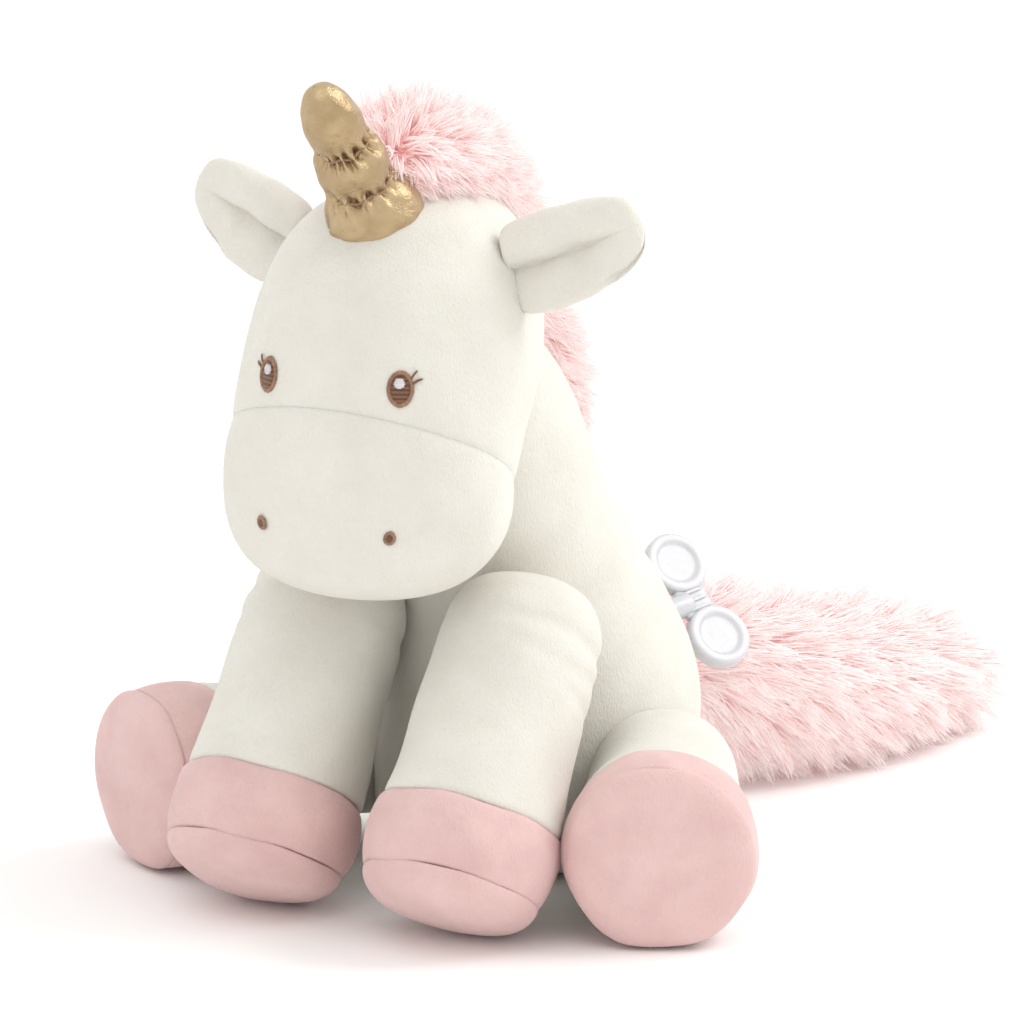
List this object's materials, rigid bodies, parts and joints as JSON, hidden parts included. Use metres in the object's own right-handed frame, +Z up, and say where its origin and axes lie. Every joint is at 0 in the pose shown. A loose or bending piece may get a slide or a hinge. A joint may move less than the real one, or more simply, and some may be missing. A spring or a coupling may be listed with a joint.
{
  "type": "plush unicorn",
  "caption": "Seated plush unicorn with droopy ears, a gathered gold horn, long-pile pink mane and tail, pink hooves and a wind-up key in its back.",
  "frame": {"origin": "on the flat seat, in the toy's middle plane, on the surface it sits on", "axes": "-Y the way the toy looks, +X its own left side, +Z up"},
  "size_m": [0.2382, 0.3602, 0.2652],
  "materials": {
    "white_minky": "short cream pile",
    "pink_velour": "short pink pile",
    "pink_long_pile": "long fluffy pile",
    "gold_lame": "metallic cloth, gathered",
    "polyester_fibre": "loose fibre",
    "brown_thread": "satin stitch",
    "white_thread": "satin stitch",
    "white_plastic": "moulded",
    "steel": "plain",
    "brass": "plain"
  },
  "bodies": {
    "torso": {"torso_skin": "white_minky", "torso_filling": "polyester_fibre", "mane_on_neck": "pink_long_pile", "back_eyelet": "white_plastic", "movement_case_front": "white_plastic", "movement_case_back": "white_plastic", "bedplate": "brass", "spring_barrel": "steel", "mainspring": "steel", "drum_bracket": "brass", "comb": "steel", "comb_block": "brass", "comb_screw_1": "steel", "comb_screw_2": "steel", "governor_bracket": "brass"},
    "head": {"head_skin": "white_minky", "muzzle_skin": "white_minky", "head_filling": "polyester_fibre", "horn_sleeve": "gold_lame", "horn_filling": "polyester_fibre", "horn_gather_lower": "gold_lame", "horn_gather_upper": "gold_lame", "mane_on_head": "pink_long_pile", "eye_left": "brown_thread", "eye_glint_left": "white_thread", "eyelashes_left": "brown_thread", "nostril_left": "brown_thread", "eye_right": "brown_thread", "eye_glint_right": "white_thread", "eyelashes_right": "brown_thread", "nostril_right": "brown_thread"},
    "ear_left": {"ear_left_front_panel": "white_minky", "ear_left_back_panel": "white_minky"},
    "ear_right": {"ear_right_front_panel": "white_minky", "ear_right_back_panel": "white_minky"},
    "front_leg_left": {"front_leg_left_sleeve": "white_minky", "front_leg_left_cuff": "pink_velour", "front_leg_left_sole": "pink_velour", "front_leg_left_filling": "polyester_fibre"},
    "front_leg_right": {"front_leg_right_sleeve": "white_minky", "front_leg_right_cuff": "pink_velour", "front_leg_right_sole": "pink_velour", "front_leg_right_filling": "polyester_fibre"},
    "hind_leg_left": {"hind_leg_left_sleeve": "white_minky", "hind_leg_left_cuff": "pink_velour", "hind_leg_left_sole": "pink_velour", "hind_leg_left_filling": "polyester_fibre"},
    "hind_leg_right": {"hind_leg_right_sleeve": "white_minky", "hind_leg_right_cuff": "pink_velour", "hind_leg_right_sole": "pink_velour", "hind_leg_right_filling": "polyester_fibre"},
    "tail": {"tail": "pink_long_pile"},
    "key": {"winding_key": "white_plastic", "winding_shaft": "steel", "barrel_wheel": "brass"},
    "drum": {"music_drum": "brass"},
    "second_wheel": {"second_wheel": "brass"},
    "governor": {"governor": "steel"}
  },
  "joints": [
    {"name": "head_turn", "type": "hinge", "parent": "torso", "child": "head", "pos_m": [0, -0.042, 0.15], "axis": [0, 0, 1], "range_deg": [-12, 12]},
    {"name": "ear_left_fold", "type": "hinge", "parent": "head", "child": "ear_left", "pos_m": [0.043, -0.07, 0.2], "axis": [-0.3398, 0.0001, 0.9405], "range_deg": [-12, 12]},
    {"name": "ear_right_fold", "type": "hinge", "parent": "head", "child": "ear_right", "pos_m": [-0.043, -0.07, 0.2], "axis": [-0.3398, -0.0001, -0.9405], "range_deg": [-12, 12]},
    {"name": "front_leg_left_lift", "type": "hinge", "parent": "torso", "child": "front_leg_left", "pos_m": [0.035, -0.057, 0.09], "axis": [-1, 0, 0], "range_deg": [0, 25]},
    {"name": "front_leg_right_lift", "type": "hinge", "parent": "torso", "child": "front_leg_right", "pos_m": [-0.035, -0.057, 0.09], "axis": [-1, 0, 0], "range_deg": [0, 25]},
    {"name": "hind_leg_left_splay", "type": "hinge", "parent": "torso", "child": "hind_leg_left", "pos_m": [0.057, -0.01, 0.031], "axis": [0, 0, 1], "range_deg": [0, 30]},
    {"name": "hind_leg_right_splay", "type": "hinge", "parent": "torso", "child": "hind_leg_right", "pos_m": [-0.057, -0.01, 0.031], "axis": [0, 0, -1], "range_deg": [0, 30]},
    {"name": "tail_swing", "type": "hinge", "parent": "torso", "child": "tail", "pos_m": [-0.003, 0.057, 0.042], "axis": [0, 0, 1], "range_deg": [-12, 12]},
    {"name": "key_turn", "type": "hinge", "parent": "torso", "child": "key", "pos_m": [0.02381, 0.07221, 0.06924], "axis": [-0.3711, -0.9128, -0.1705], "range_deg": [0, 1530]},
    {"name": "drum_turn", "type": "hinge", "parent": "torso", "child": "drum", "pos_m": [-0.00677, 0.02563, 0.07311], "axis": [-0.6375, 0.1169, 0.7616], "range_deg": [0, 2295]},
    {"name": "second_wheel_turn", "type": "hinge", "parent": "torso", "child": "second_wheel", "pos_m": [0.00409, 0.02121, 0.07317], "axis": [-0.6375, 0.1169, 0.7616], "range_deg": [-4590, 0]},
    {"name": "governor_spin", "type": "hinge", "parent": "torso", "child": "governor", "pos_m": [0.00003, 0.01758, 0.07033], "axis": [0.6752, -0.3913, 0.6252], "range_deg": [0, 22950]}
  ],
  "couplings": [
    {"joint": "drum_turn", "follows": "key_turn", "ratio": 1.5},
    {"joint": "second_wheel_turn", "follows": "key_turn", "ratio": -3},
    {"joint": "governor_spin", "follows": "key_turn", "ratio": 15}
  ]
}
